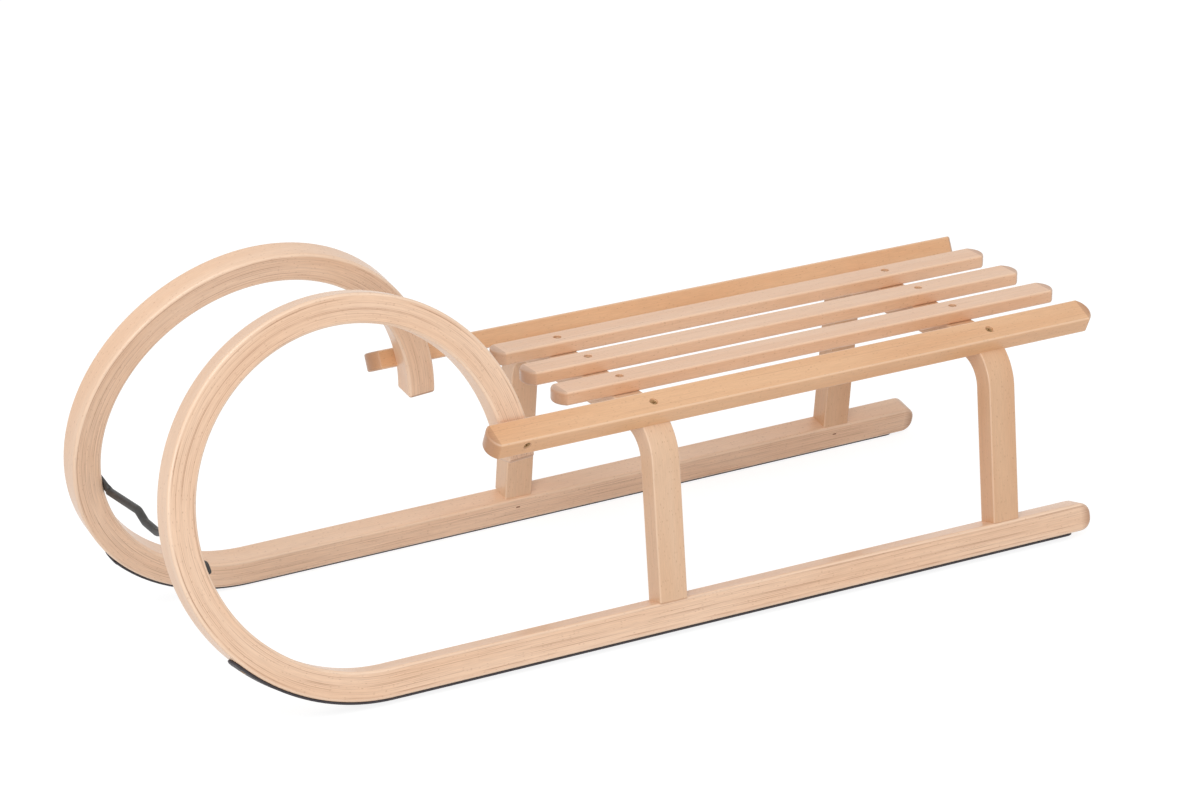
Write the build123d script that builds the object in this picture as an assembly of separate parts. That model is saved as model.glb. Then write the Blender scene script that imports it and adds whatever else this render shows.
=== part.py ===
"""A wooden horn sled: two bent runners whose horns curl back to the seat, two bent bows, five slats.

Millimetres and degrees. +X points forwards, to the horns, +Y to the sled's left and +Z up.
The origin is on the floor, under the middle of the sled.
The left half is modelled and mirrored where a piece comes in pairs.
"""

import os
from math import ceil, cos, radians, sin, sqrt, tan

from build123d import *

# Runners, bent from one bar each
TRACK = 349.0                # between the runners' outer lower edges, under the front bow
RUNNER_WIDTH = 27.0          # across the sled
RUNNER_DEPTH = 29.0          # in the plane that the bar is bent in
RUNNER_CANT = 13.4           # lean of that plane, inwards at the top
RUNNER_TOE_IN = 0.55         # each runner turns in towards the front
RUNNER_CHAMFER = 2.0         # along all its edges
TAIL_LENGTH = 103.4          # from the rear bow's middle to the runner's rear end
TAIL_RADIUS = 12.5           # rounding of the rear end, seen from the side
NOSE_LENGTH = 308.0          # from the front bow's middle to the start of the bend

# The horn's bends from the floor up and back: centreline radius, angle turned
HORN_BENDS = (
    (193.0, 45.0),
    (176.5, 190.0),
    (197.0, 31.0),
)
HORN_TIP_LENGTH = 3.5        # straight end of the horn, beside the seat
HORN_TWIST_ANGLE = 130.0     # how far round the bend the horn keeps the runner's cant
HORN_END_CANT = 9.0          # what is left of it at the tip, after a smooth twist
TWIST_STEP_ANGLE = 8.0       # at most this between two of the sections it is drawn through

# Steel running strips
STRIP_THICKNESS = 2.8
STRIP_WIDTH = 23.0
STRIP_END_RADIUS = 10.0
STRIP_FRONT_ANGLE = 48.3     # how far round the bend the strip reaches
STRIP_TAIL_SETBACK = 20.0    # from the runner's rear end to the strip's

# Bows, each bent to an upside-down U that stands on both runners
BOW_SPACING = 395.7
BOW_WIDTH = 31.0             # along the sled
BOW_THICKNESS = 23.8
BOW_SHOULDER_RADIUS = 53.0   # outside of the bend
BOW_CHAMFER = 1.2
LEG_SPLAY = 6.7
FRONT_LEG_PROUD = 0.9        # outwards of the runner's outer face
REAR_LEG_PROUD = -1.3

# Tenons under the legs, in blind mortises in the runners
TENON_LENGTH = 18.0          # along the sled
TENON_THICKNESS = 13.0       # across it
TENON_DEPTH = 19.0
MORTISE_CLEARANCE = 0.15     # on every side of the tenon

# Slats
SEAT_HEIGHT = 236.5          # from the floor to the top of the middle slats
SLAT_PITCH = 62.0
SLAT_WIDTH = 30.0
SLAT_THICKNESS = 14.0
SLAT_FRONT_OVERHANG = 75.0   # past the front bow's middle
SLAT_REAR_OVERHANG = 122.4   # past the rear bow's middle
SLAT_END_RADIUS = 18.0       # of the ends' arcs, seen from above
SLAT_CHAMFER = 1.4
OUTER_SLAT_WIDTH = 29.5
OUTER_SLAT_THICKNESS = 19.0
OUTER_SLAT_TILT = 24.5
OUTER_SLAT_SINK = 3.6        # depth of the flat that it has on the bow's shoulder
OUTER_SLAT_SHIFT = 0.5       # inwards, from the shoulder's square-on point
OUTER_SLAT_FRONT_OVERHANG = 182.5
OUTER_SLAT_REAR_OVERHANG = 124.4

# Tie bar between the horns, flattened at its ends, with a crank down in the middle for a tow cord
TIE_BAR_DIAMETER = 7.0
TIE_BAR_ANGLE = 75.4         # its place round the horn's bend
TIE_BAR_RISE = 4.5           # from its ends to the crank
TIE_BAR_CRANK_DEPTH = 9.0
TIE_BAR_CRANK_TOP = 30.0     # from the middle to where the crank starts
TIE_BAR_CRANK_BOTTOM = 13.5  # from the middle to where it ends
TIE_BAR_BEND_RADIUS = 11.0
TIE_TAB_WIDTH = 13.0
TIE_TAB_THICKNESS = 4.0
TIE_TAB_INSET = 3.0          # from the horn's outer face to the tab's end


# Places that the other sizes settle
cant = radians(RUNNER_CANT)
toe_in = radians(RUNNER_TOE_IN)
splay = radians(LEG_SPLAY)
front_bow_x = BOW_SPACING / 2
rear_bow_x = -BOW_SPACING / 2
strip_inset = (RUNNER_WIDTH - STRIP_WIDTH) / 2
# Height of the runner's outer lower edge, with the canted strip's inner edge on the floor
runner_z = (RUNNER_WIDTH - strip_inset) * sin(cant) + STRIP_THICKNESS * cos(cant)
# The plane of the left runner's outer face: x forwards, y up the runner, z inwards
runner_plane = Plane(
    origin=(front_bow_x, TRACK / 2, runner_z),
    x_dir=(cos(toe_in), -sin(toe_in), 0),
    z_dir=(-sin(toe_in) * cos(cant), -cos(toe_in) * cos(cant), -sin(cant)),
)
# The plane of its upper face, where the legs stand
seat_plane = Plane(
    origin=runner_plane.origin + runner_plane.y_dir * RUNNER_DEPTH,
    x_dir=runner_plane.x_dir,
    z_dir=runner_plane.y_dir,
)


def bend_path(offset, last_turn, setback=0):
    """The runner's line at a distance above its lower face, from the tail to a turn of the bend."""
    line = [Line((setback - BOW_SPACING - TAIL_LENGTH, offset), (NOSE_LENGTH, offset))]
    turned = 0.0
    for radius, turn in HORN_BENDS:
        turn = min(turn, last_turn - turned)
        inner = radius + RUNNER_DEPTH / 2 - offset
        line.append(JernArc(line[-1] @ 1, line[-1] % 1, inner, turn))
        turned += turn
        if turned >= last_turn:
            break
    return line


def band(lower, upper):
    """The face between two lines of a bar, open ends closed straight across."""
    ends = [Line(lower[0] @ 0, upper[0] @ 0), Line(lower[-1] @ 1, upper[-1] @ 1)]
    return make_face(lower + upper + ends)


def chamfered_bar(outline, height, size):
    """A flat outline made into a bar, with a chamfer round both of its faces."""
    bar = extrude(outline, height)
    return chamfer(bar.faces().filter_by(Axis.Z).edges(), size)


def in_runner(shape, depth):
    """Place a piece drawn on the runner's outer face, moved inwards by depth."""
    return runner_plane.offset(depth) * shape


def horn_axes(turned):
    """Directions along and across the horn at a turn of the bend, with the cant that is left there."""
    last_turn = sum(turn for radius, turn in HORN_BENDS)
    over = (turned - HORN_TWIST_ANGLE) / (last_turn - HORN_TWIST_ANGLE)
    blend = over * over * (3 - 2 * over)
    lean = radians(RUNNER_CANT + (HORN_END_CANT - RUNNER_CANT) * blend)
    level = runner_plane.x_dir
    up = Vector(-sin(lean) * sin(toe_in), -sin(lean) * cos(toe_in), cos(lean))
    turn = radians(turned)
    return level * cos(turn) + up * sin(turn), up * cos(turn) - level * sin(turn)


def horn_section(origin, turned):
    """The bar's section there, from its outer lower edge."""
    along, across = horn_axes(turned)
    section = Rectangle(RUNNER_DEPTH, RUNNER_WIDTH)
    section = Pos(RUNNER_DEPTH / 2, RUNNER_WIDTH / 2) * chamfer(section.vertices(), RUNNER_CHAMFER)
    return (Plane(origin=origin, x_dir=across, z_dir=along) * section).face()


def horn_end(start):
    """The horn from where its plane starts to turn upright, on to its tip."""
    sections = [horn_section(start, HORN_TWIST_ANGLE)]
    place, turned, bend_end = start, HORN_TWIST_ANGLE, 0.0
    for radius, turn in HORN_BENDS:
        bend_end += turn
        if bend_end <= turned:
            continue
        steps = ceil((bend_end - turned) / TWIST_STEP_ANGLE)
        step = (bend_end - turned) / steps
        chord = 2 * (radius + RUNNER_DEPTH / 2) * sin(radians(step) / 2)
        for _ in range(steps):
            along, across = horn_axes(turned + step / 2)
            place, turned = place + along * chord, turned + step
            sections.append(horn_section(place, turned))
    along, across = horn_axes(turned)
    tip = extrude(sections[-1], HORN_TIP_LENGTH, dir=along)
    end = tip.faces().sort_by(Axis(place, along))[-1]
    return loft(sections) + chamfer(end.edges(), RUNNER_CHAMFER)


def make_runner(mortises):
    outer_line = bend_path(0, HORN_TWIST_ANGLE)
    outline = band(outer_line, bend_path(RUNNER_DEPTH, HORN_TWIST_ANGLE))
    tail = outline.vertices().sort_by(Axis.X)[:2]
    bar = extrude(fillet(tail, TAIL_RADIUS), RUNNER_WIDTH)
    # The edges across the open end stay as they are
    edges = [e for e in bar.faces().filter_by(Axis.Z).edges() if abs(e.length - RUNNER_DEPTH) > RUNNER_CHAMFER]
    runner = in_runner(chamfer(edges, RUNNER_CHAMFER), 0)
    joint = outer_line[-1] @ 1
    runner = runner + horn_end(runner_plane.from_local_coords(Vector(joint.X, joint.Y, 0)))
    for mortise in mortises:
        runner = runner - mortise
    return runner


def make_strip():
    lower, upper = (
        bend_path(offset, STRIP_FRONT_ANGLE, STRIP_TAIL_SETBACK) for offset in (-STRIP_THICKNESS, 0)
    )
    strip = extrude(band(lower, upper), STRIP_WIDTH)
    # Each end is rounded in its own plane
    corners = [e for e in strip.edges() if abs(e.length - STRIP_THICKNESS) < STRIP_THICKNESS / 2]
    return in_runner(fillet(ShapeList(corners), STRIP_END_RADIUS), strip_inset)


def slat(width, thickness, front, rear):
    """A slat along X with its upper face's middle line through the origin."""
    half = width / 2
    rise = SLAT_END_RADIUS - sqrt(SLAT_END_RADIUS ** 2 - half ** 2)
    outline = make_face([
        Line((rear + rise, half), (front - rise, half)),
        ThreePointArc((front - rise, half), (front, 0), (front - rise, -half)),
        Line((front - rise, -half), (rear + rise, -half)),
        ThreePointArc((rear + rise, -half), (rear, 0), (rear + rise, half)),
    ])
    return Pos(0, 0, -thickness) * chamfered_bar(outline, thickness, SLAT_CHAMFER)


bow_top = SEAT_HEIGHT - SLAT_THICKNESS
shoulder_z = bow_top - BOW_SHOULDER_RADIUS


def shoulder_y(x, proud):
    """Where the bend's centre is on the left, for a bow at x whose feet stand proud of the runners."""
    down = (x - front_bow_x) / cos(toe_in)
    foot = seat_plane.origin + seat_plane.x_dir * down - runner_plane.z_dir * proud
    leg_rise = shoulder_z + BOW_SHOULDER_RADIUS * sin(splay) - foot.Z
    return foot.Y - leg_rise * tan(splay) - BOW_SHOULDER_RADIUS * cos(splay)


def bow_line(offset, middle_y):
    """Half of a bow's line, from the middle to the foot, at a depth under its outer face."""
    radius = BOW_SHOULDER_RADIUS - offset
    top = Line((0, bow_top - offset), (middle_y, bow_top - offset))
    shoulder = JernArc(top @ 1, top % 1, radius, -90 + LEG_SPLAY)
    leg = Line(shoulder @ 1, shoulder @ 1 + (shoulder % 1) * bow_top)
    return [top, shoulder, leg]


def tenon(x, proud, clearance=0.0):
    """The left leg's tenon of the bow at x, square to the runner and centred on its upper face."""
    leg = bow_line(BOW_THICKNESS / 2, shoulder_y(x, proud))[-1]
    start, along = leg @ 0, leg % 0
    middle = seat_plane.intersect(Axis((x, start.X, start.Y), (0, along.X, along.Y)))
    block = Box(
        TENON_LENGTH + 2 * clearance,
        TENON_THICKNESS + 2 * clearance,
        2 * (TENON_DEPTH + clearance),
    )
    return Plane(origin=middle, x_dir=seat_plane.x_dir, z_dir=seat_plane.z_dir) * block


def make_bow(x, proud, outer_slats):
    half = band(*(bow_line(offset, shoulder_y(x, proud)) for offset in (0, BOW_THICKNESS)))
    bar = chamfered_bar(half + mirror(half, about=Plane.YZ), BOW_WIDTH, BOW_CHAMFER)
    across = Plane(origin=(x - BOW_WIDTH / 2, 0, 0), x_dir=(0, 1, 0), z_dir=(1, 0, 0))
    bow = across * bar
    # The feet are cut to the runners' upper faces
    reach = 2 * (BOW_SPACING + BOW_WIDTH)
    below = seat_plane * Box(reach, TRACK, 2 * bow_top, align=(Align.CENTER, Align.CENTER, Align.MAX))
    bow = bow - below - mirror(below, about=Plane.XZ)
    bow = bow + tenon(x, proud) + mirror(tenon(x, proud), about=Plane.XZ)
    for outer_slat in outer_slats:
        bow = bow - outer_slat
    return bow


def make_outer_slat():
    tilt = radians(OUTER_SLAT_TILT)
    bar = slat(
        OUTER_SLAT_WIDTH,
        OUTER_SLAT_THICKNESS,
        front_bow_x + OUTER_SLAT_FRONT_OVERHANG,
        rear_bow_x - OUTER_SLAT_REAR_OVERHANG,
    )
    reach = BOW_SHOULDER_RADIUS - OUTER_SLAT_SINK + OUTER_SLAT_THICKNESS
    y = shoulder_y(*bows["bow_front"]) + reach * sin(tilt) - OUTER_SLAT_SHIFT * cos(tilt)
    z = shoulder_z + reach * cos(tilt) + OUTER_SLAT_SHIFT * sin(tilt)
    return Pos(0, y, z) * Rot(-OUTER_SLAT_TILT, 0, 0) * bar


def make_tie_bar(runners):
    """A round bar between the horns' hollow faces, with a flat tab against each."""
    hollow = bend_path(RUNNER_DEPTH, TIE_BAR_ANGLE)[-1]
    place, along = hollow @ 1, hollow % 1
    away = Vector(-along.Y, along.X, 0)
    # The tab lies on the hollow face, its length across the horn
    tab_length = RUNNER_WIDTH - TIE_TAB_INSET
    tab = Box(TIE_TAB_WIDTH, TIE_TAB_THICKNESS, tab_length)
    seat = Plane(
        origin=place + away * TIE_TAB_THICKNESS / 2,
        x_dir=along,
        z_dir=(0, 0, 1),
    )
    tab = in_runner(seat * Pos(0, 0, tab_length / 2) * tab, TIE_TAB_INSET)
    end = (runner_plane.offset(RUNNER_WIDTH - TIE_BAR_DIAMETER)
           * Pos(place + away * TIE_TAB_THICKNESS / 2)).position
    x, y, z = end.X, end.Y, end.Z
    high = z + TIE_BAR_RISE
    low = high - TIE_BAR_CRANK_DEPTH
    half = [(x, y, z), (x, TIE_BAR_CRANK_TOP, high), (x, TIE_BAR_CRANK_BOTTOM, low)]
    route = FilletPolyline(*half, *[(x, -py, pz) for x, py, pz in reversed(half)], radius=TIE_BAR_BEND_RADIUS)
    rod = sweep(Plane(origin=route @ 0, z_dir=route % 0) * Circle(TIE_BAR_DIAMETER / 2), path=route)
    bar = rod + tab + mirror(tab, about=Plane.XZ)
    # The tabs' backs follow the hollow faces
    for runner in runners:
        bar = bar - runner
    return bar


bows = {
    "bow_front": (front_bow_x, FRONT_LEG_PROUD),
    "bow_rear": (rear_bow_x, REAR_LEG_PROUD),
}
outer_left = make_outer_slat()
outer_right = mirror(outer_left, about=Plane.XZ)
mortises = [tenon(x, proud, MORTISE_CLEARANCE) for x, proud in bows.values()]
runner_left = make_runner(mortises) - outer_left
runner_right = mirror(runner_left, about=Plane.XZ)
strip_left = make_strip()

parts = {
    "runner_left": runner_left,
    "runner_right": runner_right,
    "running_strip_left": strip_left,
    "running_strip_right": mirror(strip_left, about=Plane.XZ),
    "slat_outer_left": outer_left,
    "slat_outer_right": outer_right,
    "tie_bar": make_tie_bar((runner_left, runner_right)),
}
for name, (x, proud) in bows.items():
    parts[name] = make_bow(x, proud, (outer_left, outer_right))
middle_slat = slat(
    SLAT_WIDTH,
    SLAT_THICKNESS,
    front_bow_x + SLAT_FRONT_OVERHANG,
    rear_bow_x - SLAT_REAR_OVERHANG,
)
for name, place in (("slat_left", 1), ("slat_centre", 0), ("slat_right", -1)):
    parts[name] = Pos(0, place * SLAT_PITCH, SEAT_HEIGHT) * middle_slat

# The origin goes under the middle of the whole length
whole = Compound(children=[Compound(piece.wrapped) for piece in parts.values()])
middle_x = whole.bounding_box().center().X

os.makedirs("parts", exist_ok=True)
for name, piece in parts.items():
    export_step(Pos(-middle_x, 0, 0) * piece, f"parts/{name}.step")
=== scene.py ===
"""Looks of a wooden horn sled: bent beech runners and bows, five slats, steel strips and a tie bar.

Metres and degrees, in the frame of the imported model: +X forwards, +Y to the sled's left, +Z up.
Every wooden bar is its own mesh with rounded edges, and keeps where each of its points lay in the
straight bar, so that grain follows the bends.
"""

from collections import namedtuple
from math import asin, ceil, cos, pi, radians, sin, tan

import bmesh
import bpy
from mathutils import Matrix, Vector


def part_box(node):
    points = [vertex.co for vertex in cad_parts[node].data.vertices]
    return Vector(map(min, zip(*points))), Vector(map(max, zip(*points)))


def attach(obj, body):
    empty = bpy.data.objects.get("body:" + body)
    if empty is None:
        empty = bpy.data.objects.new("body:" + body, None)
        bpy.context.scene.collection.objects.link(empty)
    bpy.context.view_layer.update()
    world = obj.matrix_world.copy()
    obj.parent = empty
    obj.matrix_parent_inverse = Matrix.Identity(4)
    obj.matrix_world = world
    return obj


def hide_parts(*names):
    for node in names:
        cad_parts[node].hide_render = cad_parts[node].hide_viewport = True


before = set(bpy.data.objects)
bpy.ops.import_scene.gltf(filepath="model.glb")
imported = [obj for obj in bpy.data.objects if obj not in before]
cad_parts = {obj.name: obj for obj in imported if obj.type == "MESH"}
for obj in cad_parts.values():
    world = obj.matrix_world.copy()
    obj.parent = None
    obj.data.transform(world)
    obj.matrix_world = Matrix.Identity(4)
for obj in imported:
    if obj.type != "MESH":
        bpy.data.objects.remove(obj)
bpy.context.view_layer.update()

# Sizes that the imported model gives
front_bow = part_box("bow_front")
rear_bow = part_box("bow_rear")
front_bow_x = (front_bow[0].x + front_bow[1].x) / 2
rear_bow_x = (rear_bow[0].x + rear_bow[1].x) / 2
bow_top = front_bow[1].z

# Runners
TRACK = 0.349                # between the runners' outer lower edges, under the front bow
RUNNER_WIDTH = 0.027
RUNNER_DEPTH = 0.029
RUNNER_CANT = radians(13.4)
RUNNER_TOE_IN = radians(0.55)
RUNNER_EDGE = 0.003
TAIL_LENGTH = 0.1034
TAIL_CORNER = 0.0125
TIP_CORNER = 0.0032
NOSE_LENGTH = 0.308
HORN_BENDS = (               # centreline radius, angle turned
    (0.193, radians(45.0)),
    (0.1765, radians(190.0)),
    (0.197, radians(31.0)),
)
HORN_TIP_LENGTH = 0.0035
HORN_TWIST_TURN = radians(130.0)   # from here on the horn leaves the runner's cant
HORN_END_CANT = radians(9.0)

# Running strips
STRIP_THICKNESS = 0.0028
STRIP_WIDTH = 0.022
STANDING_EDGE = 0.025        # from the runner's outer face to where it stands
STRIP_CORNER = 0.010
STRIP_EDGE = 0.00139
STRIP_FRONT_TURN = radians(48.3)
STRIP_TAIL_SETBACK = 0.020

# Bows
BOW_WIDTH = 0.031
BOW_THICKNESS = 0.0238
BOW_SHOULDER_RADIUS = 0.053
BOW_EDGE = 0.0017
LEG_SPLAY = radians(6.7)
FRONT_LEG_PROUD = 0.0009     # outwards of the runner's outer face
REAR_LEG_PROUD = -0.0013

# Slats
SLAT_WIDTH = 0.030
SLAT_THICKNESS = 0.014
SLAT_CORNER = 0.0028
SLAT_CROWN = 0.018           # radius of the ends, seen from above
SLAT_EDGE = 0.0025
OUTER_SLAT_WIDTH = 0.0295
OUTER_SLAT_THICKNESS = 0.019
OUTER_SLAT_TILT = radians(24.5)
OUTER_SLAT_EDGE = 0.0022

# How finely curves are drawn
ARC_STEP = radians(2.0)
CORNER_STEPS = 6
CROWN_STEPS = 6
EDGE_STEPS = 5
FLAT = 100.0                 # a crown radius that makes an end flat

strip_inset = (RUNNER_WIDTH - STRIP_WIDTH) / 2
runner_z = STANDING_EDGE * sin(RUNNER_CANT) + STRIP_THICKNESS * cos(RUNNER_CANT)
runner_origin = Vector((front_bow_x, TRACK / 2, runner_z))
runner_forward = Vector((cos(RUNNER_TOE_IN), -sin(RUNNER_TOE_IN), 0))
horn_turn = sum(turn for radius, turn in HORN_BENDS)


# Bars follow a path of places, which hold the origin, the directions along the bar, across its side
# and through it, and the length so far
Place = namedtuple("Place", "origin along across through length")


def straight_place(place, distance):
    return place._replace(origin=place.origin + place.along * distance, length=place.length + distance)


def arc_places(place, radius, turn):
    """Places round an arc that turns towards the across direction."""
    centre = place.origin + place.across * radius
    steps = ceil(turn / ARC_STEP)
    places = []
    for step in range(1, steps + 1):
        angle = turn * step / steps
        along = place.along * cos(angle) + place.across * sin(angle)
        across = place.across * cos(angle) - place.along * sin(angle)
        length = place.length + radius * angle
        places.append(Place(centre - across * radius, along, across, place.through, length))
    return places


def horn_axes(turned):
    """Directions along, across and through the left horn at a turn of its bend."""
    over = max(0.0, (turned - HORN_TWIST_TURN) / (horn_turn - HORN_TWIST_TURN))
    lean = RUNNER_CANT + (HORN_END_CANT - RUNNER_CANT) * over * over * (3 - 2 * over)
    up = Vector((-sin(lean) * sin(RUNNER_TOE_IN), -sin(lean) * cos(RUNNER_TOE_IN), cos(lean)))
    along = runner_forward * cos(turned) + up * sin(turned)
    across = up * cos(turned) - runner_forward * sin(turned)
    return along, across, along.cross(across)


def runner_places(setback=0.0, last_turn=horn_turn):
    """Places along the left runner's lower face, from the tail to a turn of the horn."""
    start = rear_bow_x - front_bow_x - TAIL_LENGTH + setback
    places = [Place(runner_origin + runner_forward * start, *horn_axes(0.0), start)]
    places.append(straight_place(places[-1], NOSE_LENGTH - start))
    turned = bend_end = 0.0
    for radius, turn in HORN_BENDS:
        bend_end = min(bend_end + turn, last_turn)
        steps = ceil((bend_end - turned) / ARC_STEP)
        for left in reversed(range(steps)):
            step = (bend_end - turned) / (left + 1)
            reach = radius + RUNNER_DEPTH / 2
            origin = places[-1].origin + horn_axes(turned + step / 2)[0] * 2 * reach * sin(step / 2)
            turned += step
            places.append(Place(origin, *horn_axes(turned), places[-1].length + reach * step))
    if last_turn == horn_turn:
        places.append(straight_place(places[-1], HORN_TIP_LENGTH))
    return places


def end_rows(span, corner, crown, inset):
    """Half of a bar's end, from its side to its middle: (distance before the end, height, end on)."""
    half = span / 2
    lean = asin((half - corner) / (crown - corner))
    centre = crown - (crown - corner) * cos(lean)
    rows = []
    for step in range(CORNER_STEPS + 1):
        angle = pi / 2 + (lean - pi / 2) * step / CORNER_STEPS
        reach = corner - inset
        rows.append((centre - reach * cos(angle), corner - reach * sin(angle), cos(angle)))
    for step in range(1, CROWN_STEPS + 1):
        angle = lean * (1 - step / (CROWN_STEPS + 0.5))
        reach = crown - inset
        rows.append((crown - reach * cos(angle), half - reach * sin(angle), cos(angle)))
    return rows


def side_rows(places, span, start, end, inset):
    """Half of a bar's outline, moved in by inset: (place, distance past it, height, end on)."""
    rows = [(places[0], before, *rest) for before, *rest in reversed(end_rows(span, *start, inset))]
    rows += [(place, 0.0, inset, 0.0) for place in places[1:-1]]
    rows += [(places[-1], -before, *rest) for before, *rest in end_rows(span, *end, inset)]
    return rows


def bar_mesh(name, places, span, depth, edge, start, end, offset=0.0, mirrored=False):
    """A bar with rounded edges, whose start and end are (corner radius, crown radius).

    Its attribute "wood" is length, height and depth in the straight bar, "end" is how far it shows end
    grain, and "flat" is 1 on its lower and upper faces and falls to 0 over the rounded edges.
    """
    profile = []
    for step in range(EDGE_STEPS + 1):
        angle = pi / 2 * step / EDGE_STEPS
        profile.append((edge * (1 - sin(angle)), edge * (1 - cos(angle))))
    profile += [(inset, depth - through) for inset, through in reversed(profile)]
    points, wood, ends, flats = [], [], [], []
    for inset, through in profile:
        rows = side_rows(places, span, start, end, inset)
        ring = rows + [(place, past, span - height, end_on) for place, past, height, end_on in rows[::-1]]
        for place, past, height, end_on in ring:
            point = place.origin + place.along * past + place.across * height + place.through * through
            points.append((point.x, -point.y if mirrored else point.y, point.z))
            wood.append((place.length + past + offset, height + offset, through + offset))
            ends.append(end_on)
            flats.append(1 - inset / edge)
    count = len(ring)
    faces = []
    for layer in range(0, len(points) - count, count):
        for i in range(count):
            j = (i + 1) % count
            faces.append((layer + i, layer + j, layer + count + j, layer + count + i))
    last = len(points) - count
    for i in range(count // 2 - 1):
        faces.append((i, count - 1 - i, count - 2 - i, i + 1))
        faces.append((last + i, last + i + 1, last + count - 2 - i, last + count - 1 - i))
    mesh = bpy.data.meshes.new(name)
    mesh.from_pydata(points, [], faces)
    mesh.attributes.new("wood", "FLOAT_VECTOR", "POINT").data.foreach_set(
        "vector", [part for value in wood for part in value])
    mesh.attributes.new("end", "FLOAT", "POINT").data.foreach_set("value", ends)
    mesh.attributes.new("flat", "FLOAT", "POINT").data.foreach_set("value", flats)
    return mesh


SHARP_ANGLE = radians(30.0)


def outward(mesh):
    """Turns all faces outwards."""
    bm = bmesh.new()
    bm.from_mesh(mesh)
    bmesh.ops.recalc_face_normals(bm, faces=bm.faces)
    bm.to_mesh(mesh)
    bm.free()
    return mesh


def cut(mesh, tool_mesh):
    """The mesh without what lies in the tool's mesh."""
    body = bpy.data.objects.new("body", outward(mesh))
    tool = bpy.data.objects.new("tool", outward(tool_mesh))
    for item in (body, tool):
        bpy.context.scene.collection.objects.link(item)
    difference = body.modifiers.new("cut", "BOOLEAN")
    difference.object = tool
    difference.solver = "EXACT"
    result = bpy.data.meshes.new_from_object(body.evaluated_get(bpy.context.evaluated_depsgraph_get()))
    for item in (body, tool):
        bpy.data.objects.remove(item)
    return result


def joined(name, placed):
    """One mesh of (mesh, matrix) pairs."""
    bm = bmesh.new()
    for mesh, matrix in placed:
        first = len(bm.verts)
        bm.from_mesh(mesh)
        bm.verts.ensure_lookup_table()
        bmesh.ops.transform(bm, matrix=matrix, verts=bm.verts[first:])
    mesh = bpy.data.meshes.new(name)
    bm.to_mesh(mesh)
    bm.free()
    return mesh


def finish_piece(mesh, name, material, slot, *nodes):
    """Shades a mesh smoothly, links it as a piece on the one body and lets it stand for CAD nodes."""
    outward(mesh)
    mesh.shade_smooth()
    mesh.set_sharp_from_angle(angle=SHARP_ANGLE)
    mesh.materials.clear()
    mesh.materials.append(material)
    piece = bpy.data.objects.new(name, mesh)
    bpy.context.scene.collection.objects.link(piece)
    weighted = piece.modifiers.new("weighted", "WEIGHTED_NORMAL")
    weighted.keep_sharp = True
    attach(piece, "root")
    if nodes:
        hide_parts(*nodes)


# Wood screws
SCREW_RADIUS = 0.0033
SCREW_LENGTH = 0.006
SHANK_RADIUS = 0.0019
HEAD_DEPTH = 0.0024
RECESS_LENGTH = 0.0044
RECESS_WIDTH = 0.0012
RECESS_DEPTH = 0.0018
PIT_RADIUS = 0.0011          # where the slots cross
RECESS_FOOT_SHARE = 0.5      # of a slot's length and width and the pit's radius, at their lower side
TOOL_OVERRUN = RECESS_DEPTH / 20
RIM_SHARE = 0.94             # of the head's radius, where its face ends
RIM_TOP_SHARE = 0.05         # of the head's depth, where its side starts
RIM_FOOT_SHARE = 0.15        # of the head's depth, where its cone starts
HOLE_RADIUS = 0.0041
HOLE_FLARE = 0.0004
SHANK_HOLE_RADIUS = SHANK_RADIUS * 1.1
SCREW_TURN_STEP = radians(37.0)    # from one screw's slots to the next one's
ROUND_STEPS = 32


def turned_mesh(name, profile):
    """A solid turned round Z from its (radius, height) points, whose first and last have no radius."""
    points = [(0, 0, profile[0][1])]
    for radius, height in profile[1:-1]:
        for step in range(ROUND_STEPS):
            angle = 2 * pi * step / ROUND_STEPS
            points.append((radius * cos(angle), radius * sin(angle), height))
    points.append((0, 0, profile[-1][1]))
    faces = []
    top = len(points) - 1 - ROUND_STEPS
    for step in range(ROUND_STEPS):
        after = (step + 1) % ROUND_STEPS
        faces.append((0, 1 + after, 1 + step))
        faces.append((top + step, top + after, len(points) - 1))
        for ring in range(1, top, ROUND_STEPS):
            faces.append((ring + step, ring + after, ring + ROUND_STEPS + after, ring + ROUND_STEPS + step))
    mesh = bpy.data.meshes.new(name)
    mesh.from_pydata(points, [], faces)
    return mesh


def block_mesh(length, width, depth):
    """A block whose upper side is centred on the origin, narrower at its lower side."""
    bm = bmesh.new()
    bmesh.ops.create_cube(bm, size=1)
    for vertex in bm.verts:
        x, y, z = vertex.co
        share = 1.0 if z > 0 else RECESS_FOOT_SHARE
        vertex.co = (x * length * share, y * width * share, (z - 0.5) * depth)
    mesh = bpy.data.meshes.new("block")
    bm.to_mesh(mesh)
    bm.free()
    return mesh


def screw_head():
    """A countersunk head with a cross recess, its face at the origin."""
    head = turned_mesh("screw", [
        (0, -SCREW_LENGTH),
        (SHANK_RADIUS, -SCREW_LENGTH),
        (SHANK_RADIUS, -HEAD_DEPTH),
        (SCREW_RADIUS, -HEAD_DEPTH * RIM_FOOT_SHARE),
        (SCREW_RADIUS, -HEAD_DEPTH * RIM_TOP_SHARE),
        (SCREW_RADIUS * RIM_SHARE, 0),
        (0, 0),
    ])
    pit = turned_mesh("pit", [
        (0, -RECESS_DEPTH),
        (PIT_RADIUS * RECESS_FOOT_SHARE, -RECESS_DEPTH),
        (PIT_RADIUS, 0),
        (0, 0),
    ])
    slot = block_mesh(RECESS_LENGTH, RECESS_WIDTH, RECESS_DEPTH)
    # The tools reach a little above the head
    for mesh, turn in ((slot, 0), (slot, pi / 2), (pit, 0)):
        place = Matrix.Translation((0, 0, TOOL_OVERRUN)) @ Matrix.Rotation(turn, 4, "Z")
        head = cut(head, joined("tool", [(mesh, place)]))
    return head


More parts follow.
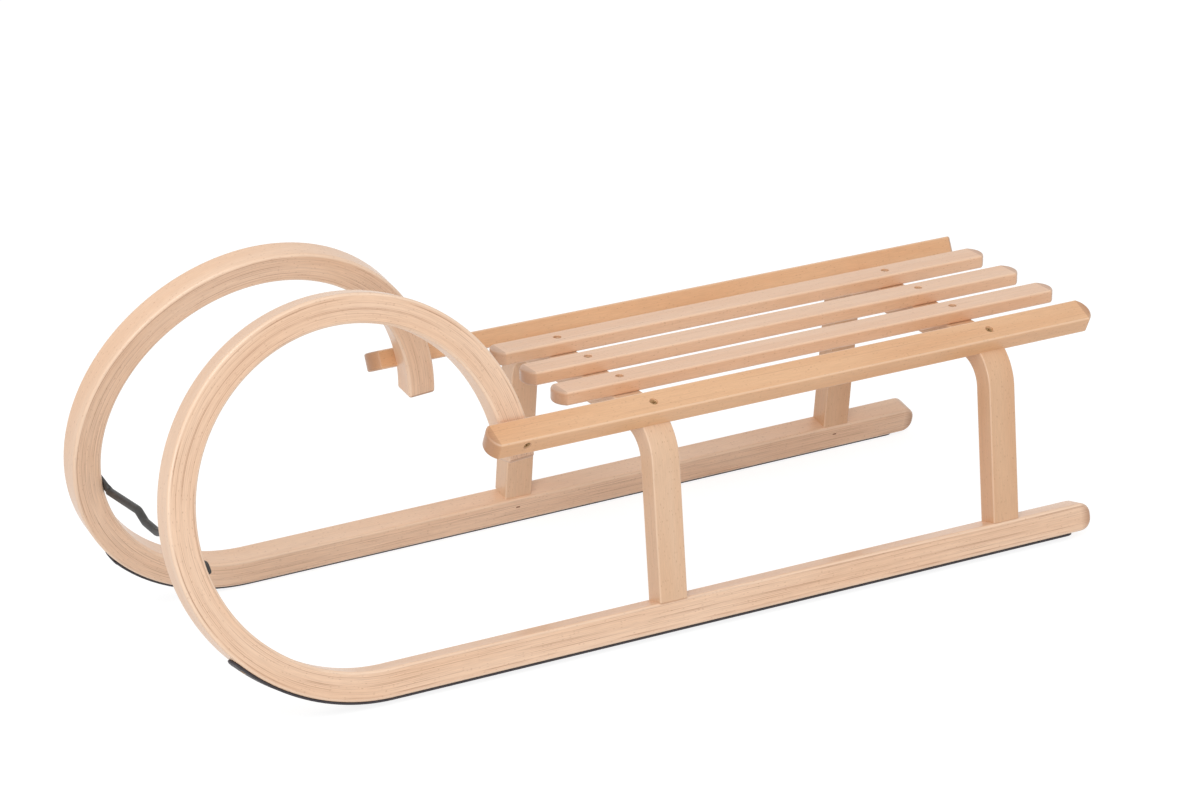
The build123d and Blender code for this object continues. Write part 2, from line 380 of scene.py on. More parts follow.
def screw_hole(depth):
    """What a hole for a screw takes away, below the origin and a little above it."""
    mouth = HOLE_RADIUS + 2 * HOLE_FLARE
    return turned_mesh("hole", [
        (0, -depth - SCREW_LENGTH),
        (SHANK_HOLE_RADIUS, -depth - SCREW_LENGTH),
        (SHANK_HOLE_RADIUS, -depth - HEAD_DEPTH),
        (HOLE_RADIUS, -depth),
        (HOLE_RADIUS, -HOLE_FLARE),
        (mouth, HOLE_FLARE),
        (0, HOLE_FLARE),
    ])


def screw_matrix(origin, outwards, turn=0.0):
    """Where a screw stands whose axis points outwards."""
    aimed = outwards.to_track_quat("Z", "Y").to_matrix().to_4x4()
    return Matrix.Translation(origin) @ (aimed @ Matrix.Rotation(turn, 4, "Z"))


screws = []                  # (mesh, matrix) of each


def add_screw(origin, outwards, depth=0.0):
    """Puts a screw with its head that deep below a surface, its slots turned on from the last one's."""
    turn = len(screws) * SCREW_TURN_STEP
    screws.append((screw, screw_matrix(origin - outwards * depth, outwards, turn)))


screw = screw_head()


# Materials
def node(tree, kind, **settings):
    made = tree.nodes.new(kind)
    for key, value in settings.items():
        setattr(made, key, value)
    return made


def put(tree, source, target):
    """Link an output to an input, or set a plain value."""
    if isinstance(source, bpy.types.NodeSocket):
        tree.links.new(source, target)
    else:
        target.default_value = source


def math_node(tree, operation, *values):
    made = node(tree, "ShaderNodeMath", operation=operation)
    for value, socket in zip(values, made.inputs):
        put(tree, value, socket)
    return made.outputs[0]


def vector_node(tree, operation, *values):
    made = node(tree, "ShaderNodeVectorMath", operation=operation)
    for value, socket in zip(values, made.inputs):
        put(tree, value, socket)
    return made.outputs[0]


def noise(tree, vector, scale, detail, roughness=0.5):
    """Cloudy noise from 0 to 1, whose scale is its cells per metre along each axis."""
    made = node(tree, "ShaderNodeTexNoise")
    put(tree, vector_node(tree, "MULTIPLY", vector, scale), made.inputs["Vector"])
    made.inputs["Scale"].default_value = 1.0
    made.inputs["Detail"].default_value = detail
    made.inputs["Roughness"].default_value = roughness
    return made.outputs["Fac"]


def ramp(tree, value, low, high, out_low=0.0, out_high=1.0):
    """Takes a value between low and high smoothly to one between out_low and out_high."""
    made = node(tree, "ShaderNodeMapRange", interpolation_type="SMOOTHSTEP")
    for socket, item in zip(("Value", "From Min", "From Max", "To Min", "To Max"),
                            (value, low, high, out_low, out_high)):
        put(tree, item, made.inputs[socket])
    return made.outputs[0]


def mix(tree, factor, first, second, blend="MIX"):
    made = node(tree, "ShaderNodeMix", data_type="RGBA", blend_type=blend)
    put(tree, factor, made.inputs["Factor"])
    put(tree, first, made.inputs["A"])
    put(tree, second, made.inputs["B"])
    return made.outputs["Result"]


def linear(red, green, blue):
    """A colour given in the 0 to 255 of a picture, as Blender's linear values."""
    values = []
    for part in (red, green, blue):
        part /= 255
        values.append(part / 12.92 if part <= 0.04045 else ((part + 0.055) / 1.055) ** 2.4)
    return (*values, 1.0)


def thin_lines(tree, across, spacing, width):
    """Thin lines at uneven spacing, 1 on a line and 0 off it, from a position across them."""
    cells = node(tree, "ShaderNodeTexVoronoi", voronoi_dimensions="1D", feature="DISTANCE_TO_EDGE")
    put(tree, math_node(tree, "DIVIDE", across, spacing), cells.inputs["W"])
    cells.inputs["Scale"].default_value = 1.0
    return ramp(tree, cells.outputs["Distance"], width / spacing, 0.0)


BUMP_DISTANCE = 0.0002       # how deep the fine unevenness of wood and steel goes


def bump(tree, height, strength, shader):
    made = node(tree, "ShaderNodeBump")
    made.inputs["Strength"].default_value = strength
    made.inputs["Distance"].default_value = BUMP_DISTANCE
    put(tree, height, made.inputs["Height"])
    put(tree, made.outputs[0], shader.inputs["Normal"])


# What all the wood shares: scales are cells per metre along the bar, up it and through it, and ranges
# are the noise's values between which something changes
DARK_GRAIN = linear(150, 100, 68)
# Painted highlight: the pale colour given to the rounded edges
EDGE_HIGHLIGHT_PAINT = linear(255, 236, 214)
TONE_SCALE = (4.0, 35.0, 35.0)
TONE_RANGE = (0.3, 0.7)
WANDER_SCALE = (2.5, 14.0, 14.0)
RING_WANDER = 0.007          # how far growth rings stray across the bar
STREAK_SCALE = (5.0, 0.0, 0.0)
BANDS_PER_METRE = 420.0
BAND_RANGE = (0.35, 0.75)
BAND_STRENGTH = 0.16
FLAT_FACE_FADE = 0.9         # how much weaker growth rings are on the lower and upper faces
RING_LINES = (               # spacing, width, strength, the fade noise's value from which they show
    (0.0017, 0.00030, 0.42, 0.38),
    (0.0036, 0.00036, 0.70, 0.43),
    (0.0090, 0.00042, 1.05, 0.42),
)
FADE_SCALE = (12.0, 240.0, 240.0)
FADE_SPAN = 0.20             # of the fade noise, from where a line starts to show to where it is full
FIBRE_SCALE = (60.0, 1100.0, 1100.0)
FIBRE_ROUGHNESS = 0.6
FIBRE_RANGE = (0.3, 0.7)
FIBRE_SHADES = (0.945, 1.045)
FLECK_SCALE = (230.0, 800.0, 800.0)
FLECKLESS_SHARE = 0.80       # of the cells that could hold a fleck
FLECK_RANGE = (0.36, 0.12)   # distances from a cell's middle, at which a fleck starts and is full
FLECK_STRENGTH = 0.40
# How strongly the rounded edges are painted pale, a painted highlight
EDGE_HIGHLIGHT_STRENGTH = 0.25
END_GRAIN = 0.60
GLOSS_RANGE = (0.2, 0.8)
WOOD_ROUGHNESS = (0.40, 0.52)
COAT_ROUGHNESS = 0.18
WOOD_BUMP = 0.12


def beech(name, pale, warm, ring_direction, figure, coat):
    """Varnished beech. ring_direction is the way, in the straight bar, that growth rings follow on.

    figure is how clearly the rings show, and coat the weight of the varnish.
    """
    material = bpy.data.materials.new(name)
    material.use_nodes = True
    tree = material.node_tree
    shader = tree.nodes["Principled BSDF"]
    wood = node(tree, "ShaderNodeAttribute", attribute_name="wood").outputs["Vector"]

    # Slow changes of tone
    tone = noise(tree, wood, TONE_SCALE, 2.0)
    colour = mix(tree, ramp(tree, tone, *TONE_RANGE), pale, warm)

    # Growth rings: fine uneven lines and a few strong thin ones, which wander slowly across the bar
    wander = noise(tree, wood, WANDER_SCALE, 1.0)
    across = node(tree, "ShaderNodeVectorMath", operation="DOT_PRODUCT")
    put(tree, wood, across.inputs[0])
    put(tree, ring_direction, across.inputs[1])
    ring = math_node(tree, "MULTIPLY_ADD", wander, RING_WANDER, across.outputs["Value"])
    streaks = noise(tree, wood, STREAK_SCALE, 0.0)
    band = node(tree, "ShaderNodeTexNoise", noise_dimensions="2D")
    place = node(tree, "ShaderNodeCombineXYZ")
    put(tree, math_node(tree, "MULTIPLY", ring, BANDS_PER_METRE), place.inputs[0])
    put(tree, streaks, place.inputs[1])
    put(tree, place.outputs[0], band.inputs["Vector"])
    band.inputs["Scale"].default_value = 1.0
    flat = node(tree, "ShaderNodeAttribute", attribute_name="flat").outputs["Fac"]
    clear = math_node(tree, "MULTIPLY_ADD", flat, -FLAT_FACE_FADE * figure, figure)
    bands = ramp(tree, band.outputs["Fac"], *BAND_RANGE, 0.0, BAND_STRENGTH)
    colour = mix(tree, math_node(tree, "MULTIPLY", bands, clear), colour, DARK_GRAIN)
    fade = noise(tree, wood, FADE_SCALE, 2.0)
    for spacing, width, strength, fade_from in RING_LINES:
        dark = thin_lines(tree, ring, spacing, width)
        dark = math_node(tree, "MULTIPLY", dark, ramp(tree, fade, fade_from, fade_from + FADE_SPAN))
        dark = math_node(tree, "MULTIPLY", math_node(tree, "MULTIPLY", dark, clear), strength)
        colour = mix(tree, dark, colour, DARK_GRAIN)

    # Fine fibres
    fibres = noise(tree, wood, FIBRE_SCALE, 3.0, FIBRE_ROUGHNESS)
    shade = ramp(tree, fibres, *FIBRE_RANGE, *FIBRE_SHADES)
    grey = node(tree, "ShaderNodeCombineColor")
    for socket in grey.inputs[:3]:
        put(tree, shade, socket)
    colour = mix(tree, 1.0, colour, grey.outputs[0], "MULTIPLY")

    # The short dark flecks of beech
    cells = node(tree, "ShaderNodeTexVoronoi", feature="F1")
    put(tree, vector_node(tree, "MULTIPLY", wood, FLECK_SCALE), cells.inputs["Vector"])
    cells.inputs["Scale"].default_value = 1.0
    cell = node(tree, "ShaderNodeSeparateColor")
    put(tree, cells.outputs["Color"], cell.inputs[0])
    chosen = math_node(tree, "GREATER_THAN", cell.outputs[0], FLECKLESS_SHARE)
    near = ramp(tree, cells.outputs["Distance"], *FLECK_RANGE)
    fleck = math_node(tree, "MULTIPLY", near, chosen)
    colour = mix(tree, math_node(tree, "MULTIPLY", fleck, FLECK_STRENGTH), colour, DARK_GRAIN)

    # Painted highlight: the rounded edges are made paler, most halfway round each edge, standing in for the
    # light they catch
    edge_highlight_mask = math_node(tree, "MULTIPLY", flat, math_node(tree, "SUBTRACT", 1.0, flat))
    colour = mix(tree, math_node(tree, "MULTIPLY", edge_highlight_mask, 4 * EDGE_HIGHLIGHT_STRENGTH), colour, EDGE_HIGHLIGHT_PAINT)

    # End grain is darker
    end = node(tree, "ShaderNodeAttribute", attribute_name="end").outputs["Fac"]
    colour = mix(tree, math_node(tree, "MULTIPLY", end, END_GRAIN), colour, DARK_GRAIN)
    put(tree, colour, shader.inputs["Base Color"])

    put(tree, ramp(tree, fibres, *GLOSS_RANGE, *WOOD_ROUGHNESS), shader.inputs["Roughness"])
    shader.inputs["Coat Weight"].default_value = coat
    shader.inputs["Coat Roughness"].default_value = COAT_ROUGHNESS
    bump(tree, fibres, WOOD_BUMP, shader)
    return material


# What all the steel shares
CLOUD_SCALE = (120.0, 120.0, 120.0)
CLOUD_RANGE = (0.35, 0.65)
CLOUD_LIGHTER = 1.35
GRAIN_SCALE = (1600.0, 1600.0, 1600.0)
GRAIN_RANGE = (0.3, 0.7)
ROUGHNESS_SPREAD = 0.06
STEEL_BUMP = 0.1


def painted_steel(name, colour, roughness, metallic=0.0):
    """Steel under paint, or partly metallic under a thin coating."""
    material = bpy.data.materials.new(name)
    material.use_nodes = True
    tree = material.node_tree
    shader = tree.nodes["Principled BSDF"]
    where = node(tree, "ShaderNodeTexCoord").outputs["Object"]
    cloud = noise(tree, where, CLOUD_SCALE, 3.0)
    grain = noise(tree, where, GRAIN_SCALE, 2.0)
    lighter = tuple(min(1.0, part * CLOUD_LIGHTER) for part in colour[:3]) + (1.0,)
    put(tree, mix(tree, ramp(tree, cloud, *CLOUD_RANGE), colour, lighter), shader.inputs["Base Color"])
    smooth, rough = roughness - ROUGHNESS_SPREAD, roughness + ROUGHNESS_SPREAD
    put(tree, ramp(tree, grain, *GRAIN_RANGE, smooth, rough), shader.inputs["Roughness"])
    shader.inputs["Metallic"].default_value = metallic
    bump(tree, grain, STEEL_BUMP, shader)
    return material


runner_wood = beech(
    "runner_wood", linear(236, 202, 173), linear(229, 190, 158),
    ring_direction=(0.0, 1.0, 0.05), figure=0.75, coat=0.4,
)
bow_front_wood = beech(
    "bow_front_wood", linear(222, 186, 154), linear(218, 178, 143),
    ring_direction=(0.0, 0.3, 1.0), figure=0.12, coat=0.4,
)
bow_rear_wood = beech(
    "bow_rear_wood", linear(216, 174, 137), linear(211, 164, 125),
    ring_direction=(0.0, 0.3, 1.0), figure=0.12, coat=0.4,
)
slat_wood = beech(
    "slat_wood", linear(229, 187, 152), linear(225, 178, 140),
    ring_direction=(0.0, 0.6, 0.8), figure=0.22, coat=0.6,
)
outer_slat_wood = beech(
    "outer_slat_wood", linear(225, 178, 135), linear(218, 166, 121),
    ring_direction=(0.0, 0.8, 0.6), figure=0.22, coat=0.4,
)
strip_steel = painted_steel("strip_steel", linear(50, 45, 49), roughness=0.6)
tie_bar_steel = painted_steel("tie_bar_steel", linear(47, 46, 45), roughness=0.5)
screw_steel = painted_steel("screw_steel", linear(150, 118, 80), roughness=0.4, metallic=0.5)
staple_steel = painted_steel("staple_steel", linear(110, 62, 40), roughness=0.6)


# Runners and their strips
OFFSETS = {"left": 0.0, "right": 0.731}     # where in the tree each side's wood comes from
STRIP_SCREW_SETBACK = 0.016  # of the first and last screws from the strip's ends
SCREW_PROUD = 0.0003         # of the screws' heads on steel


def mirrored(vector):
    return Vector((vector.x, -vector.y, vector.z))


strip_places = []
for place in runner_places(STRIP_TAIL_SETBACK, STRIP_FRONT_TURN):
    origin = place.origin + place.through * strip_inset
    strip_places.append(Place(origin, place.along, place.through, -place.across, place.length))
# The strip's screws are near its ends, where the bend starts and between the bows
strip_screws = [
    straight_place(strip_places[0], STRIP_SCREW_SETBACK),
    straight_place(strip_places[0], (strip_places[1].length - strip_places[0].length) / 2),
    strip_places[1],
    min(strip_places, key=lambda place: abs(place.length - strip_places[-1].length + STRIP_SCREW_SETBACK)),
]
for side in ("left", "right"):
    flip = side == "right"
    mesh = bar_mesh(
        f"runner_{side}_wood", runner_places(), RUNNER_DEPTH, RUNNER_WIDTH, RUNNER_EDGE,
        (TAIL_CORNER, FLAT), (TIP_CORNER, FLAT), OFFSETS[side], flip,
    )
    finish_piece(mesh, f"wood_runner_{side}", runner_wood, "runner_wood", f"runner_{side}")
    mesh = bar_mesh(
        f"strip_{side}", strip_places, STRIP_WIDTH, STRIP_THICKNESS, STRIP_EDGE,
        (STRIP_CORNER, FLAT), (STRIP_CORNER, FLAT), OFFSETS[side], flip,
    )
    finish_piece(mesh, f"steel_strip_{side}", strip_steel, "strip_steel", f"running_strip_{side}")
    for place in strip_screws:
        surface = place.origin + place.across * STRIP_WIDTH / 2 + place.through * STRIP_THICKNESS
        if flip:
            add_screw(mirrored(surface), mirrored(place.through), -SCREW_PROUD)
        else:
            add_screw(surface, place.through.copy(), -SCREW_PROUD)


# Bows: the left foot, over the top, to the right foot
seat = runner_origin + horn_axes(0.0)[1] * RUNNER_DEPTH
shoulder_z = bow_top - BOW_SHOULDER_RADIUS
FOOT_OVERRUN = 0.012         # cut off again at the runner
FOOT_CORNER = BOW_EDGE * 1.2


def bow_places(x, proud):
    """Places along a bow's outer face, from below its left foot to below its right foot."""
    down = (x - front_bow_x) / cos(RUNNER_TOE_IN)
    foot = seat + runner_forward * down - horn_axes(0.0)[2] * proud
    leg_rise = shoulder_z + BOW_SHOULDER_RADIUS * sin(LEG_SPLAY) - foot.z
    shoulder_y = foot.y - leg_rise * tan(LEG_SPLAY) - BOW_SHOULDER_RADIUS * cos(LEG_SPLAY)
    reach = leg_rise / cos(LEG_SPLAY) + FOOT_OVERRUN
    shoulder_end = Vector((
        x - BOW_WIDTH / 2,
        shoulder_y + BOW_SHOULDER_RADIUS * cos(LEG_SPLAY),
        shoulder_z + BOW_SHOULDER_RADIUS * sin(LEG_SPLAY),
    ))
    up = Vector((0, -sin(LEG_SPLAY), cos(LEG_SPLAY)))
    inward = Vector((0, -cos(LEG_SPLAY), -sin(LEG_SPLAY)))
    turn = pi / 2 - LEG_SPLAY
    places = [Place(shoulder_end - up * reach, up, inward, Vector((1, 0, 0)), 0.0)]
    places.append(straight_place(places[-1], reach))
    places += arc_places(places[-1], BOW_SHOULDER_RADIUS, turn)
    places.append(straight_place(places[-1], 2 * shoulder_y))
    places += arc_places(places[-1], BOW_SHOULDER_RADIUS, turn)
    places.append(straight_place(places[-1], reach))
    return places


def cut_below(mesh, origin, normal):
    """Cuts off what lies below a plane and closes the cut."""
    bm = bmesh.new()
    bm.from_mesh(mesh)
    geometry = bm.verts[:] + bm.edges[:] + bm.faces[:]
    result = bmesh.ops.bisect_plane(bm, geom=geometry, plane_co=origin, plane_no=normal, clear_inner=True)
    edges = [item for item in result["geom_cut"] if isinstance(item, bmesh.types.BMEdge)]
    bmesh.ops.holes_fill(bm, edges=edges)
    bm.to_mesh(mesh)
    bm.free()


bow_foot = (FOOT_CORNER, FLAT)
for name, x, proud, wood, offset in (
    ("front", front_bow_x, FRONT_LEG_PROUD, bow_front_wood, 1.37),
    ("rear", rear_bow_x, REAR_LEG_PROUD, bow_rear_wood, 2.11),
):
    mesh = bar_mesh(
        f"bow_{name}_wood", bow_places(x, proud), BOW_THICKNESS, BOW_WIDTH, BOW_EDGE,
        bow_foot, bow_foot, offset,
    )
    runner_up = horn_axes(0.0)[1]
    cut_below(mesh, seat, runner_up)
    cut_below(mesh, mirrored(seat), mirrored(runner_up))
    finish_piece(mesh, f"wood_bow_{name}", wood, "bow_wood", f"bow_{name}")


# Slats
MIDDLE_SCREW_DEPTH = 0.0022
OUTER_SCREW_DEPTH = 0.0014
SIDE_SCREW_X = 0.150         # of the screw through the outer slat into the horn's tip
SIDE_SCREW_RISE = 0.0015     # from the middle of the slat's outer side


def slat_piece(node_name, width, thickness, edge, tilt, material, slot, screw_depth, offset):
    """A slat where its CAD node is, tilted down towards its outer side, with its screws."""
    low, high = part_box(node_name)
    middle = (low + high) / 2
    side = 1 if middle.y >= 0 else -1
    along = Vector((1, 0, 0))
    across = Vector((0, side * cos(tilt), -sin(tilt)))
    down = Vector((0, -side * sin(tilt), -cos(tilt)))
    start = Vector((low.x, middle.y, middle.z)) - across * width / 2 - down * thickness / 2
    places = [Place(start, along, across, down, 0.0)]
    places.append(straight_place(places[-1], high.x - low.x))
    ends = (SLAT_CORNER, SLAT_CROWN)
    mesh = bar_mesh(node_name + "_wood", places, width, thickness, edge, ends, ends, offset)
    holes = []
    for x in (front_bow_x, rear_bow_x):
        holes.append((Vector((x, middle.y, middle.z)) - down * thickness / 2, -down))
    if tilt:
        outer_side = Vector((SIDE_SCREW_X, middle.y, middle.z)) + across * width / 2
        holes.append((outer_side - down * SIDE_SCREW_RISE, across))
    for place, outwards in holes:
        mesh = cut(mesh, joined("holes", [(screw_hole(screw_depth), screw_matrix(place, outwards))]))
        add_screw(place, outwards, screw_depth)
    # The holes' walls carry on the wood's figure, and their rims keep what their place gives them
    for vertex in mesh.vertices:
        place = vertex.co - start
        height = place.dot(across)
        wood = (place.dot(along) + offset, height + offset, place.dot(down) + offset)
        mesh.attributes["wood"].data[vertex.index].vector = wood
        if min(vertex.co.x - low.x, high.x - vertex.co.x) > SLAT_CROWN:
            inset = min(max(0.0, height), max(0.0, width - height), edge)
            mesh.attributes["flat"].data[vertex.index].value = 1 - inset / edge
            mesh.attributes["end"].data[vertex.index].value = 0.0
    finish_piece(mesh, "wood_" + node_name, material, slot, node_name)


for name, offset in (("slat_left", 3.03), ("slat_centre", 3.71), ("slat_right", 4.29)):
    slat_piece(name, SLAT_WIDTH, SLAT_THICKNESS, SLAT_EDGE, 0.0, slat_wood, "slat_wood",
               MIDDLE_SCREW_DEPTH, offset)
for name, offset in (("slat_outer_left", 5.13), ("slat_outer_right", 5.87)):
    slat_piece(name, OUTER_SLAT_WIDTH, OUTER_SLAT_THICKNESS, OUTER_SLAT_EDGE, OUTER_SLAT_TILT,
               outer_slat_wood, "outer_slat_wood", OUTER_SCREW_DEPTH, offset)


# Tie bar: half of it is drawn from the middle to the flattened end on the left horn, and mirrored
TIE_BAR_RADIUS = 0.0041
TIE_BAR_TURN = radians(76.9)
TIE_BAR_INSET = 0.007        # of its line from the horn's inner side, where its rise is counted from
TIE_BAR_RISE = 0.0026
TIE_BAR_CRANK_DEPTH = 0.0062
TIE_BAR_CRANK_TOP = 0.030
TIE_BAR_CRANK_BOTTOM = 0.0135
TIE_BAR_BEND_RADIUS = 0.011
TAB_HALF_WIDTH = 0.0065
TAB_HALF_THICKNESS = 0.0020
TAB_INSET = 0.003            # from the horn's outer face to the tab's end
TAB_CORNER = 0.0035
TAB_REACH = 0.0045           # of the flat part past the horn's inner side
FLATTENING = 0.0045          # length over which the rod turns flat
TAB_SCREW_INSET = 0.008      # from the tab's end
TAB_THINNING_SHARE = 0.25    # of its thickness, over its rounded end
TAB_SQUARENESS = 0.55        # of the tab's section: 0 is an ellipse, 1 a rectangle
TAB_STEPS = 12
SECTION_STEPS = 24


def bend_points(before, corner, after, radius):
    """Points round a bend of that radius between two straight stretches, in the Y-Z plane."""
    come, go = (corner - before).normalized(), (after - corner).normalized()
    turn = come.angle(go)
    reach = radius * tan(turn / 2)
    start = corner - come * reach
    side = (go - come * come.dot(go)).normalized()
    steps = ceil(turn / ARC_STEP / 2)
    points = []
    for step in range(steps + 1):
        angle = turn * step / steps
        points.append(start + come * radius * sin(angle) + side * radius * (1 - cos(angle)))
    return points


tab_place = runner_places(last_turn=TIE_BAR_TURN)[-1]
hollow = tab_place.origin + tab_place.across * RUNNER_DEPTH
rod_reach = RUNNER_WIDTH + TAB_REACH + FLATTENING
rod_end = hollow + tab_place.across * TAB_HALF_THICKNESS + tab_place.through * rod_reach
rise_z = (hollow + tab_place.through * (RUNNER_WIDTH - TIE_BAR_INSET)).z + TIE_BAR_RISE
crank = [
    Vector((rod_end.x, 0, rise_z - TIE_BAR_CRANK_DEPTH)),
    Vector((rod_end.x, TIE_BAR_CRANK_BOTTOM, rise_z - TIE_BAR_CRANK_DEPTH)),
    Vector((rod_end.x, TIE_BAR_CRANK_TOP, rise_z)),
    rod_end,
]
centres = [crank[0]]
centres += bend_points(crank[0], crank[1], crank[2], TIE_BAR_BEND_RADIUS)
centres += bend_points(crank[1], crank[2], crank[3], TIE_BAR_BEND_RADIUS)
# (centre, direction, half width, half thickness, how flat from 0 to 1)
stations = []
for i, centre in enumerate(centres):
    ahead = (centres + [rod_end])[i + 1] - centre
    behind = centre - centres[i - 1] if i else Vector((0, 1, 0))
    direction = (ahead.normalized() + behind.normalized()).normalized()
    stations.append((centre, direction, TIE_BAR_RADIUS, TIE_BAR_RADIUS, 0.0))
outwards = -tab_place.through
for step in range(TAB_STEPS + 1):
    over = step / TAB_STEPS
    blend = over * over * (3 - 2 * over)
    thickness = TIE_BAR_RADIUS + (TAB_HALF_THICKNESS - TIE_BAR_RADIUS) * blend
    width = TIE_BAR_RADIUS + (TAB_HALF_WIDTH - TIE_BAR_RADIUS) * blend
    centre = rod_end - tab_place.through * FLATTENING * over
    stations.append((centre, outwards, width, thickness, blend))
tab_end = hollow + tab_place.across * TAB_HALF_THICKNESS + tab_place.through * TAB_INSET
for step in range(CORNER_STEPS + 1):
    angle = pi / 2 * step / CORNER_STEPS
    width = TAB_HALF_WIDTH - TAB_CORNER * (1 - cos(angle))
    centre = tab_end + tab_place.through * TAB_CORNER * (1 - sin(angle))
    thickness = TAB_HALF_THICKNESS * (1 - TAB_THINNING_SHARE * (1 - cos(angle)))
    stations.append((centre, outwards, width, thickness, 1.0))


def signed_power(value, power):
    return abs(value) ** power * (1 if value > 0 else -1)


def tie_bar_mesh():
    """The whole bar, from the stations of its left half and their mirror image."""
    points, faces = [], []
    for flip in (True, False):
        for centre, direction, width, thickness, flat in (stations[:0:-1] if flip else stations):
            # The rod's section stands on the Y-Z plane, the tab's lies on the horn
            up = (Vector((1, 0, 0)) * (1 - flat) - tab_place.across * flat).cross(direction).normalized()
            front = direction.cross(up).normalized()
            power = 1.0 - TAB_SQUARENESS * flat
            for step in range(SECTION_STEPS):
                angle = 2 * pi * step / SECTION_STEPS
                wide = signed_power(cos(angle), power)
                deep = signed_power(sin(angle), power)
                point = centre + up * width * wide + front * thickness * deep
                points.append(mirrored(point) if flip else point)
    last = len(points) - SECTION_STEPS
    for ring in range(0, last, SECTION_STEPS):
        for step in range(SECTION_STEPS):
            after = (step + 1) % SECTION_STEPS
            above = ring + SECTION_STEPS
            faces.append((ring + step, ring + after, above + after, above + step))
    faces.append(tuple(range(SECTION_STEPS)))
    faces.append(tuple(range(last, len(points))))
    mesh = bpy.data.meshes.new("tie_bar_steel")
    mesh.from_pydata(points, [], faces)
    return mesh


finish_piece(tie_bar_mesh(), "steel_tie_bar", tie_bar_steel, "tie_bar_steel", "tie_bar")
tab_screw = tab_end + tab_place.through * TAB_SCREW_INSET + tab_place.across * TAB_HALF_THICKNESS
add_screw(tab_screw, tab_place.across.copy(), -SCREW_PROUD)
add_screw(mirrored(tab_screw), mirrored(tab_place.across), -SCREW_PROUD)

finish_piece(joined("screws", screws), "screws", screw_steel, "tie_bar_steel")


# Staples on the runners' inner sides, under the legs
STAPLE_WIDTH = 0.0045
STAPLE_WIRE = 0.0012
STAPLE_HEIGHT = 0.0188       # above the runner's lower face
STAPLE_FORWARD = 0.0019      # from the leg's middle
STAPLE_PROUD = 0.0004
STAPLE_CORNER = STAPLE_WIRE * 0.4
STAPLE_EDGE = STAPLE_WIRE * 0.3
staples = []
along, across, through = horn_axes(0.0)
for x in (front_bow_x, rear_bow_x):
    forward = (x - front_bow_x) / cos(RUNNER_TOE_IN) + STAPLE_FORWARD
    inward = RUNNER_WIDTH + STAPLE_PROUD
    centre = runner_origin + along * forward + across * STAPLE_HEIGHT + through * inward
    start = centre - along * STAPLE_WIDTH / 2 - across * STAPLE_WIRE / 2
    places = [Place(start, along, across, -through, 0.0)]
    places.append(straight_place(places[-1], STAPLE_WIDTH))
    for flip in (False, True):
        end = (STAPLE_CORNER, FLAT)
        mesh = bar_mesh("staple", places, STAPLE_WIRE, 2 * STAPLE_WIRE, STAPLE_EDGE, end, end, 0.0, flip)
        staples.append((mesh, Matrix()))
finish_piece(joined("staples", staples), "staples", staple_steel, "tie_bar_steel")


def seen_directly(tree):
    """1 for rays that show a thing to the camera, also by reflection or through glass, and 0 for others."""
    rays = node(tree, "ShaderNodeLightPath")
    direct = math_node(tree, "MAXIMUM", rays.outputs["Is Camera Ray"], rays.outputs["Is Glossy Ray"])
    return math_node(tree, "MAXIMUM", direct, rays.outputs["Is Transmission Ray"])


# Floor: it shows white, and takes a soft shadow
FLOOR_SIZE = 40.0
FLOOR_COLOUR = (0.80, 0.80, 0.80, 1.0)
FLOOR_SEEN_COLOUR = (0.25, 0.25, 0.25, 1.0)    # for the camera, with the glow added to it
FLOOR_GLOW = 0.85
bpy.ops.mesh.primitive_plane_add(size=FLOOR_SIZE)
floor = bpy.context.object
floor.name = "floor"
floor_material = bpy.data.materials.new("floor")
floor_material.use_nodes = True
tree = floor_material.node_tree
tree.nodes.clear()
plain = node(tree, "ShaderNodeBsdfDiffuse")
plain.inputs["Color"].default_value = FLOOR_COLOUR
seen = node(tree, "ShaderNodeBsdfDiffuse")
seen.inputs["Color"].default_value = FLOOR_SEEN_COLOUR
glow = node(tree, "ShaderNodeEmission")
glow.inputs["Strength"].default_value = FLOOR_GLOW
add = node(tree, "ShaderNodeAddShader")
put(tree, seen.outputs[0], add.inputs[0])
put(tree, glow.outputs[0], add.inputs[1])
choose = node(tree, "ShaderNodeMixShader")
put(tree, seen_directly(tree), choose.inputs[0])
put(tree, plain.outputs[0], choose.inputs[1])
put(tree, add.outputs[0], choose.inputs[2])
surface = node(tree, "ShaderNodeOutputMaterial")
put(tree, choose.outputs[0], surface.inputs["Surface"])
floor.data.materials.append(floor_material)

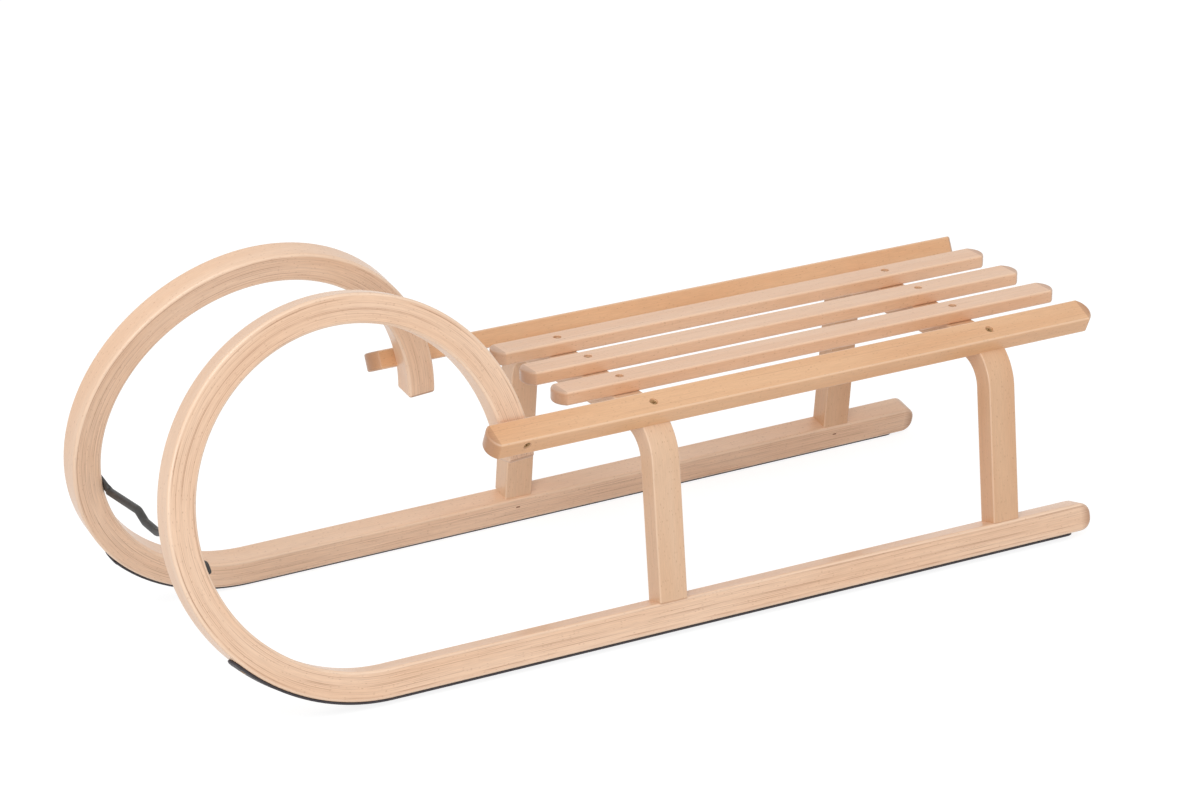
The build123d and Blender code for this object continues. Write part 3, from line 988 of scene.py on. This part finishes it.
# Light: a white surround and two large soft lamps
AMBIENT = 0.70
LAMPS_AIM = Vector((0, 0, 0.2))
scene = bpy.context.scene
world = bpy.data.worlds.new("surround")
scene.world = world
world.use_nodes = True
tree = world.node_tree
background = tree.nodes["Background"]
background.inputs["Color"].default_value = (1.0, 1.0, 1.0, 1.0)
put(tree, ramp(tree, seen_directly(tree), 0.0, 1.0, AMBIENT, 1.0), background.inputs["Strength"])


def soft_lamp(name, place, size, power):
    data = bpy.data.lights.new(name, "AREA")
    data.shape = "DISK"
    data.size = size
    data.energy = power
    lamp = bpy.data.objects.new(name, data)
    scene.collection.objects.link(lamp)
    lamp.location = place
    lamp.rotation_mode = "QUATERNION"
    lamp.rotation_quaternion = (Vector(place) - LAMPS_AIM).to_track_quat("Z", "Y")


soft_lamp("lamp_high", (1.9, 2.6, 5.2), size=3.0, power=86.0)
soft_lamp("lamp_near", (3.7, 3.9, 2.2), size=1.8, power=70.0)

# Camera
CAMERA_AZIMUTH = radians(149.96)
CAMERA_ELEVATION = radians(21.63)
CAMERA_ROLL = radians(0.03)
CAMERA_DISTANCE = 3.8966
CAMERA_LOOKS_AT = Vector((-0.00884, 0.0, 0.18674))
CAMERA_LENS = 117.14         # in millimetres, as is the sensor's width
SENSOR = 36.0
back = Vector((
    sin(CAMERA_AZIMUTH) * cos(CAMERA_ELEVATION),
    -cos(CAMERA_AZIMUTH) * cos(CAMERA_ELEVATION),
    sin(CAMERA_ELEVATION),
))
right = Vector((cos(CAMERA_AZIMUTH), sin(CAMERA_AZIMUTH), 0.0))
camera_data = bpy.data.cameras.new("camera")
camera_data.lens = CAMERA_LENS
camera_data.sensor_width = SENSOR
camera = bpy.data.objects.new("camera", camera_data)
scene.collection.objects.link(camera)
turned = Matrix((right, back.cross(right), back)).transposed()
camera.matrix_world = Matrix.Translation(CAMERA_LOOKS_AT + back * CAMERA_DISTANCE) @ (
    turned @ Matrix.Rotation(-CAMERA_ROLL, 3, "Z")
).to_4x4()
scene.camera = camera
scene.view_settings.view_transform = "Standard"
